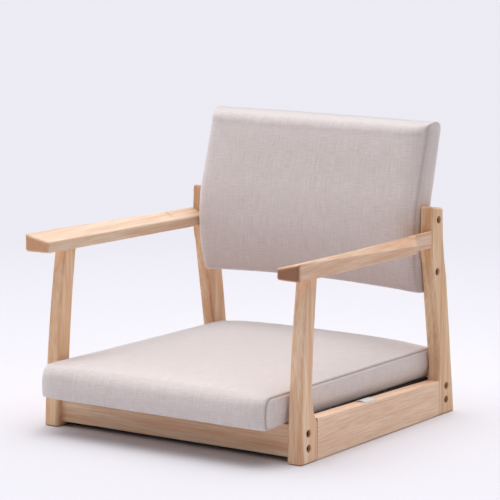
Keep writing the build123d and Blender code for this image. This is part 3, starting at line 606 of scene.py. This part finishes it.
def filled(name, make_ring, coarse, fine, *, sewn_at, held_at, cap, seam, seam_span, side_painted_shade, under_painted_shade):
    """A padded piece: the cover's fine rings, moved as the swollen coarse cover moved, with drawn-in seams.
    seam is its place from the middle, its depth, its width and the painted shade in its valley, the same on
    both sides.
    The two last arguments give the painted shade of the boxed sides and of each point."""
    coarse_rings = [make_ring(*s) for s in coarse]
    fine_rings = [make_ring(*s) for s in fine]
    coarse_at, fine_at = reach(coarse_rings), reach(fine_rings)
    count = len(fine_rings[0])
    sewn = [
        i * count + k
        for i, ring in enumerate(coarse_rings)
        for k in range(count)
        if sewn_at(coarse[i]) or held_at(ring[k])
    ]
    moved = swell(name + "_fill", coarse_rings, boxed(coarse), sewn, cap)
    for k in range(count):
        for axis in range(3):
            shift = np.interp(fine_at, coarse_at, moved[:, k, axis])
            for ring, move in zip(fine_rings, shift):
                ring[k, axis] += move
    flat = boxed(fine)
    piece = cover(name, fine_rings, flat)
    normals = np.array([v.normal for v in piece.data.vertices]).reshape(len(fine_rings), count, 3)
    # painted shade: the boxed sides, the points below the lumbar and each seam's valley get darker cloth
    painted_shade = np.array([under_painted_shade(ring) for ring in fine_rings])
    painted_shade[flat] = np.maximum(painted_shade[flat], side_painted_shade)
    place, depth, width, dark = seam
    away = np.abs(np.abs(fine_at) - place)
    pulled = np.exp(-((away / width) ** 2))
    fold = np.exp(-(((away - FOLD_AWAY * width) / (FOLD_WIDTH * width)) ** 2))
    painted_shade = np.maximum(painted_shade, (pulled * dark)[:, None])
    for i, move in enumerate(fold * depth * FOLD_RISE - pulled * depth):
        height = fine_rings[i][:, 2:]
        inside = np.minimum(height - seam_span[0], seam_span[1] - height)
        fine_rings[i] = fine_rings[i] + normals[i] * move * np.clip(inside / SEAM_FADE, 0, 1)
    for vertex, point in zip(piece.data.vertices, np.concatenate(fine_rings)):
        vertex.co = point
    piece.data.update()
    shade = piece.data.attributes.new("painted_shade", "FLOAT", "POINT")
    shade.data.foreach_set("value", painted_shade.ravel())
    return piece


# the side seams run halfway round the side's roll, and the underside is held as well
HALF_ROLL = 4.7 * MM
seat_piece = filled(
    "seat_cushion_cover",
    seat_ring,
    mirrored(seat_stations(7 * MM, 3)),
    mirrored(seat_stations(5 * MM, 10)),
    sewn_at=lambda s: s[-1] == 0 and 1 * MM < s[1] < 4 * MM,
    held_at=lambda p: p[2] < SEAT_LOW + 4 * MM,
    cap=4 * MM,
    # the seam's valley gets full painted shade
    seam=(SEAT_HALF_FRONT - SEAT_SIDE_ROLL + HALF_ROLL, 1.8 * MM, 1.5 * MM, 1.0),
    seam_span=(0.0, 1.0),
    side_painted_shade=0.0,
    under_painted_shade=lambda ring: np.zeros(len(ring)),
)
seat_piece.data.materials.append(linen)
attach(seat_piece, "cushion")
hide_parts("seat_cushion")


# Back pad: front panel rolled over top and sides, boxed sides, rear panel let in.
# Its sizes are in millimetres, and each ring is brought to metres at its end.
pad_low, pad_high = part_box("back_pad")
LUMBAR_Y = pad_low.y / MM
LUMBAR_Z = 337.0
PAD_BEND = LUMBAR_Z + 85
PAD_ARCH = 9.0  # rise of the lower edge's middle over its ends
PAD_LOW = pad_low.z / MM + PAD_ARCH
PAD_HIGH = pad_high.z / MM - 0.5
PAD_HALF = pad_high.x / MM
# depths behind the lumbar, the foremost line of the pad
FRONT_LOW, FRONT_BEND, FRONT_TOP = 19.5, 13.5, 40.5
REAR_LOW, REAR_LUMBAR, REAR_BEND, REAR_TOP = 91.0, 76.0, 89.5, 114.0
PAD_FOOT = 8  # round of the lower edges
PAD_ROLL_FRONT, PAD_ROLL_REAR = 21, 13  # rounds of the top edges
TIP_FRONT, TIP_REAR = 3, 5  # what the front one loses and the rear one gains at a tip
UNDER_FROM, UNDER_HEIGHT = 17, 80  # the front turns under this far below the lumbar, over this height
UNDER_BACK = 6  # how far it goes back there
UNDER_CORNER = 15  # how far the lower corners come forward again
SOLE_STEPS, FOOT_STEPS, LUMBAR_STEPS, UPPER_STEPS, TOP_STEPS = 5, 6, 36, 16, 10  # points of the outline
PAD_HOLLOW = 3  # how far the front goes back towards its sides
PAD_TOP_FALL = 1.5  # how far the top falls there
SIDE_ROLL_X, SIDE_ROLL_Y = 28.0, 27.0  # the front's roll at each side, across and back
PAD_SIDE_BULGE = 0.8


def pad_ring(x, front_in, low_in, high_in, rear_in, tip, share):
    """The pad's outline at x: from the middle of the sole up the front, over the top and down the rear.
    At the sides the front is rolled back and the top narrows to a round tip."""
    z0, z1 = PAD_LOW + low_in, PAD_HIGH - high_in
    # the rounds of the top's edges change towards the tips
    roll_front, roll_rear = PAD_ROLL_FRONT - TIP_FRONT * tip, PAD_ROLL_REAR + TIP_REAR * tip
    mid_front, mid_rear, mid_foot = roll_front * ARC_MIDDLE, roll_rear * ARC_MIDDLE, PAD_FOOT * ARC_MIDDLE
    front_top = LUMBAR_Y + FRONT_TOP + front_in
    rear_top = LUMBAR_Y + REAR_TOP - rear_in
    f_low = (LUMBAR_Y + FRONT_LOW + front_in, z0 + PAD_FOOT)
    f_bend = (LUMBAR_Y + FRONT_BEND + front_in, PAD_BEND)
    f_top = (front_top, z1 - roll_front)
    crown_front = (front_top + roll_front, z1 - 1)
    crown_rear = (rear_top - roll_rear, z1)
    r_top = (rear_top, z1 - roll_rear)
    r_bend = (LUMBAR_Y + REAR_BEND - rear_in, PAD_BEND)
    r_low = (LUMBAR_Y + REAR_LOW - rear_in, z0 + PAD_FOOT)
    sole_front, sole_rear = (f_low[0] + PAD_FOOT, z0), (r_low[0] - PAD_FOOT, z0)
    sole_middle = ((sole_front[0] + sole_rear[0]) / 2, z0)
    crown = ((crown_front[0] + crown_rear[0]) / 2, z1 + 0.8)
    front = (
        line_points(sole_middle, sole_front, SOLE_STEPS)
        + arc_points(sole_front, (f_low[0] + mid_foot, z0 + mid_foot), f_low, FOOT_STEPS)
        + arc_points(f_low, (LUMBAR_Y + front_in, LUMBAR_Z), f_bend, LUMBAR_STEPS)
        + line_points(f_bend, f_top, UPPER_STEPS)
        + arc_points(f_top, (front_top + mid_front, z1 - mid_front), crown_front, TOP_STEPS)
        + line_points(crown_front, crown, SOLE_STEPS)
    )
    rear = (
        line_points(crown, crown_rear, SOLE_STEPS)
        + arc_points(crown_rear, (rear_top - mid_rear, z1 - mid_rear), r_top, TOP_STEPS)
        + line_points(r_top, r_bend, UPPER_STEPS)
        + arc_points(r_bend, (LUMBAR_Y + REAR_LUMBAR - rear_in, LUMBAR_Z), r_low, LUMBAR_STEPS)
        + arc_points(r_low, (r_low[0] - mid_foot, z0 + mid_foot), sole_rear, FOOT_STEPS)
        + line_points(sole_rear, sole_middle, SOLE_STEPS)
    )
    ring = np.array([(0.0, y, z) for y, z in front + rear])
    # the lowest part of the front turns under, and the side rolls run out to square lower corners
    low = np.clip((LUMBAR_Z - UNDER_FROM - ring[:, 2]) / UNDER_HEIGHT, 0, 1)
    ahead = np.clip((sole_middle[0] - ring[:, 1]) / (sole_middle[0] - f_low[0]), 0, 1)
    ring[:, 1] += ahead * (UNDER_BACK * low**2 - UNDER_CORNER * tip * low)
    ring *= MM
    # the rings of the boxed side close in on the line midway between front and rear
    other = ring[(-np.arange(len(ring))) % len(ring)]
    middle = (ring + other) / 2
    ring = middle + (ring - middle) * (1 - share)
    centre = (PAD_LOW + PAD_HIGH) / 2 * MM
    ring[:, 2] = centre + (ring[:, 2] - centre) * (1 - share * 0.1)
    ring[:, 0] = x
    return ring


def pad_stations(step, roll_steps):
    """Where the pad's rings stand, from the middle to the boxed side's centre, as pad_ring takes them."""
    edge = PAD_HALF - SIDE_ROLL_X
    stations = []
    for x in np.arange(0, edge - step * 0.5, step):
        t = x / PAD_HALF
        front_in, low_in, high_in = PAD_HOLLOW * t**2, -PAD_ARCH * t**2, PAD_TOP_FALL * t**4
        stations.append((x * MM, front_in, low_in, high_in, 0.0, 0.0, 0.0))
    for i in range(roll_steps + 1):
        a = math.pi / 2 * i / roll_steps
        x = edge + SIDE_ROLL_X * math.sin(a)
        t = x / PAD_HALF
        lean = 1 - math.cos(a)
        front_in = PAD_HOLLOW * t**2 + (SIDE_ROLL_Y - PAD_HOLLOW) * lean
        low_in, high_in = -PAD_ARCH * t**2, PAD_TOP_FALL * t**4 - 2 * lean
        stations.append((x * MM, front_in, low_in, high_in, 2 * lean, lean, 0.0))
    last = stations[-1]
    for share in SIDE_SHARES:
        bulge = PAD_SIDE_BULGE * MM * math.sin(math.pi / 2 * share)
        stations.append((last[0] + bulge, *last[1:6], share))
    return stations


# held at the side seams and the rear; the boxed sides, the seam's valley and the cloth below the lumbar get
# painted shade
pad_fine = mirrored(pad_stations(5.0, 14))
pad_reach = reach([pad_ring(*s) for s in pad_fine])
pad_seam = max(at for at, s in zip(pad_reach, pad_fine) if s[-1] == 0)
pad_piece = filled(
    "back_pad_cover",
    pad_ring,
    mirrored(pad_stations(7.0, 8)),
    pad_fine,
    sewn_at=lambda s: abs(s[0]) > (PAD_HALF - 0.5) * MM,
    held_at=lambda p: p[1] > (LUMBAR_Y + 70) * MM,
    cap=3 * MM,
    seam=(pad_seam - 3 * MM, 1.6 * MM, 6.0 * MM, 0.75),
    seam_span=((PAD_LOW - 2) * MM, (PAD_HIGH - 6) * MM),
    side_painted_shade=0.35,
    under_painted_shade=lambda ring: 0.6 * np.clip(((LUMBAR_Z + 10) * MM - ring[:, 2]) / (105 * MM), 0, 1),
)
pad_piece.data.materials.append(linen)
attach(pad_piece, "frame")
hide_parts("back_pad")


def sheet_piece(name, grid, thick):
    """A thin panel from a grid of points seen from outside, with its wall turned inwards."""
    rows, cols = len(grid), len(grid[0])
    bm = bmesh.new()
    uv = bm.loops.layers.uv.new("weave")
    made = [[bm.verts.new(p) for p in row] for row in grid]
    for i in range(rows - 1):
        for k in range(cols - 1):
            face = bm.faces.new((made[i][k], made[i][k + 1], made[i + 1][k + 1], made[i + 1][k]))
            face.smooth = True
            face.normal_update()
            for loop in face.loops:
                p = loop.vert.co
                loop[uv].uv = (p.x, p.z) if abs(face.normal.z) < 0.7 else (p.y, p.x)
    mesh = bpy.data.meshes.new(name)
    bm.to_mesh(mesh)
    bm.free()
    piece = bpy.data.objects.new(name, mesh)
    scene.collection.objects.link(piece)
    wall = piece.modifiers.new("wall", "SOLIDIFY")
    wall.thickness = thick
    wall.offset = -1
    return piece


# Rear panel of the back: let into the pad's cover, its edge tucked in and sewn
rear_line = pad_ring(0.0, 0.0, 0.0, 0.0, 0.0, 0.0, 0.0)
rear_line = rear_line[len(rear_line) // 2 :]
rear_line = rear_line[np.argsort(rear_line[:, 2])]
panel_low, panel_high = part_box("back_rear_cover")
PANEL_HALF = panel_high.x - 3.6 * MM
PANEL_LOW = panel_low.z + 1.5 * MM
PANEL_HIGH = panel_high.z - 2.0 * MM
PANEL_CORNER = 14 * MM
PANEL_TUCK = 6 * MM  # width of the tucked edge
PANEL_SUNK = 1.6 * MM  # how deep the edge lies in the pad's cover
PANEL_RISE = 3.2 * MM  # from there to the outside
PANEL_THICK = 3 * MM
CLOSE_STEPS = (0, 0.5, 1, 2, 3, 4.5, 6, 9, 12)  # millimetres from an edge
OPEN_FROM = 18 * MM  # past this the points stand evenly


def panel_lift(x, z):
    """How far the rear panel stands proud of the pad: soft inside, tucked in at its edge."""
    dx = abs(x) - PANEL_HALF + PANEL_CORNER
    dz = abs(z - (PANEL_HIGH + PANEL_LOW) / 2) - (PANEL_HIGH - PANEL_LOW) / 2 + PANEL_CORNER
    edge = PANEL_CORNER - math.hypot(max(dx, 0), max(dz, 0)) - min(max(dx, dz), 0)
    share = min(max(edge, 0) / PANEL_TUCK, 1)
    return -PANEL_SUNK + PANEL_RISE * math.sqrt(1 - (1 - share) ** 2)


def panel_point(x, z):
    """A point of the rear panel's outside."""
    y = np.interp(z, rear_line[:, 2], rear_line[:, 1])
    return (x, y + panel_lift(x, z), z)


def spaced(low, high, count):
    """Places from low to high, close together near both ends."""
    inner = np.linspace(low + OPEN_FROM, high - OPEN_FROM, count)
    first = [low + e * MM for e in CLOSE_STEPS]
    return first + list(inner) + [high - e * MM for e in reversed(CLOSE_STEPS)]


panel_x = spaced(-PANEL_HALF, PANEL_HALF, 60)
panel_z = spaced(PANEL_LOW, PANEL_HIGH, 40)
panel_grid = [[panel_point(x, z) for x in reversed(panel_x)] for z in panel_z]
rear_panel = sheet_piece("back_rear_panel", panel_grid, PANEL_THICK)
rear_panel.data.materials.append(linen)
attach(rear_panel, "frame")
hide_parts("back_rear_cover")


TAPE_ARCH = 2.6 * MM
TAPE_THICK = 0.8 * MM


def tape_tab(side, node):
    """A tab of white tape that lies on the rail top, arched up a little between its edges."""
    low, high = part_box(node)
    grid = []
    for v in np.linspace(0, 1, 12):
        y = low.y + (high.y - low.y) * v
        row = []
        for u in np.linspace(0, 1, 10):
            inner, outer = (low.x, high.x) if side > 0 else (high.x, low.x)
            arch = TAPE_ARCH * math.sin(math.pi * u**0.8) * (0.6 + 0.4 * v)
            row.append((inner + (outer - inner) * u, y, high.z - (high.z - low.z - 1 * MM) * v + arch))
        grid.append(row if side > 0 else row[::-1])
    piece = sheet_piece(node + "_cloth", grid, TAPE_THICK)
    piece.data.materials.append(tape_cloth)
    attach(piece, "frame")
    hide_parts(node)


tape_tab(1, "tape_tab_right")
tape_tab(-1, "tape_tab_left")

# Studio: level pale floor under a soft light tent that is brightest overhead
FLOOR_HALF = 60.0  # metres, past what any view takes in


def stage_floor(half):
    """A square of matt pale paper at floor level, drawn a little darker away from the chair as painted
    shade where the light falls off.
    """
    corners = [(-half, -half, 0), (half, -half, 0), (half, half, 0), (-half, half, 0)]
    mesh = bpy.data.meshes.new("studio_floor")
    mesh.from_pydata(corners, [], [(0, 1, 2, 3)])
    mat, tree = blank("studio_paper_matt")
    coords = put(tree, "ShaderNodeTexCoord")
    away = put(tree, "ShaderNodeVectorMath", {0: coords.outputs["Object"]}, operation="LENGTH")
    far = put(
        tree,
        "ShaderNodeMapRange",
        {"Value": away.outputs["Value"], "From Min": 0.4, "From Max": 2.2},
    )
    # painted shade: the paper darkens from 0.4 m to 2.2 m away from the chair
    paper = put(
        tree,
        "ShaderNodeMix",
        {0: far.outputs[0], 6: linear("DDDCE0"), 7: linear("D0CFD4")},
        data_type="RGBA",
    )
    sheet = put(tree, "ShaderNodeBsdfDiffuse", {"Color": paper.outputs[2]})
    put(tree, "ShaderNodeOutputMaterial", {"Surface": sheet.outputs[0]})
    mesh.materials.append(mat)
    piece = bpy.data.objects.new("studio_floor", mesh)
    scene.collection.objects.link(piece)


def light_tent(lobes):
    """Light from soft lobes, each given as (direction it comes from, power, strength).
    A higher power makes a narrower lobe."""
    world = bpy.data.worlds.new("light_tent")
    world.use_nodes = True
    tree = world.node_tree
    tree.nodes.clear()
    coords = put(tree, "ShaderNodeTexCoord")
    total = 0.0
    for direction, power, strength in lobes:
        axis = np.array(direction) / np.linalg.norm(direction)
        toward = put(
            tree,
            "ShaderNodeVectorMath",
            {0: coords.outputs["Generated"], 1: tuple(axis)},
            operation="DOT_PRODUCT",
        )
        ahead = put(tree, "ShaderNodeMath", {0: toward.outputs["Value"], 1: 0.0}, operation="MAXIMUM")
        lobe = put(tree, "ShaderNodeMath", {0: ahead.outputs[0], 1: power}, operation="POWER")
        summed = put(
            tree,
            "ShaderNodeMath",
            {0: lobe.outputs[0], 1: strength, 2: total},
            operation="MULTIPLY_ADD",
        )
        total = summed.outputs[0]
    air = put(tree, "ShaderNodeBackground", {"Color": linear("F9F8FB"), "Strength": total})
    put(tree, "ShaderNodeOutputWorld", {"Surface": air.outputs[0]})
    scene.world = world


stage_floor(FLOOR_HALF)
light_tent(
    [
        ((0, 0, 1), 12.0, 5.3),  # overhead, the main light
        ((0, 1, 0.25), 3.0, 1.2),  # low from the rear
        ((-1, -0.2, 0.4), 3.0, 1.35),  # from the left, a little to the front
        ((0, 0.7, 0.7), 8.0, 1.0),  # high from the rear
        ((0.5, 0, 0.86), 14.0, 1.0),  # high from the right
    ],
)

# Camera, fitted to the feet, posts and arms in the photograph
EYE_PLACE = (2.8070, -4.0124, 1.0963)
EYE_FALL = 9.06  # degrees below level
EYE_TURN = 34.87  # degrees round from straight ahead, towards the right side
EYE_LENS = 198.18  # millimetres on a sensor 36 mm wide
lens = bpy.data.cameras.new("photo_view")
lens.sensor_width = 36.0
lens.lens = EYE_LENS
lens.clip_end = 100
eye = bpy.data.objects.new("photo_view", lens)
eye.location = EYE_PLACE
eye.rotation_euler = (math.radians(90 - EYE_FALL), 0, math.radians(EYE_TURN))
scene.collection.objects.link(eye)
scene.camera = eye
scene.view_settings.view_transform = "Standard"
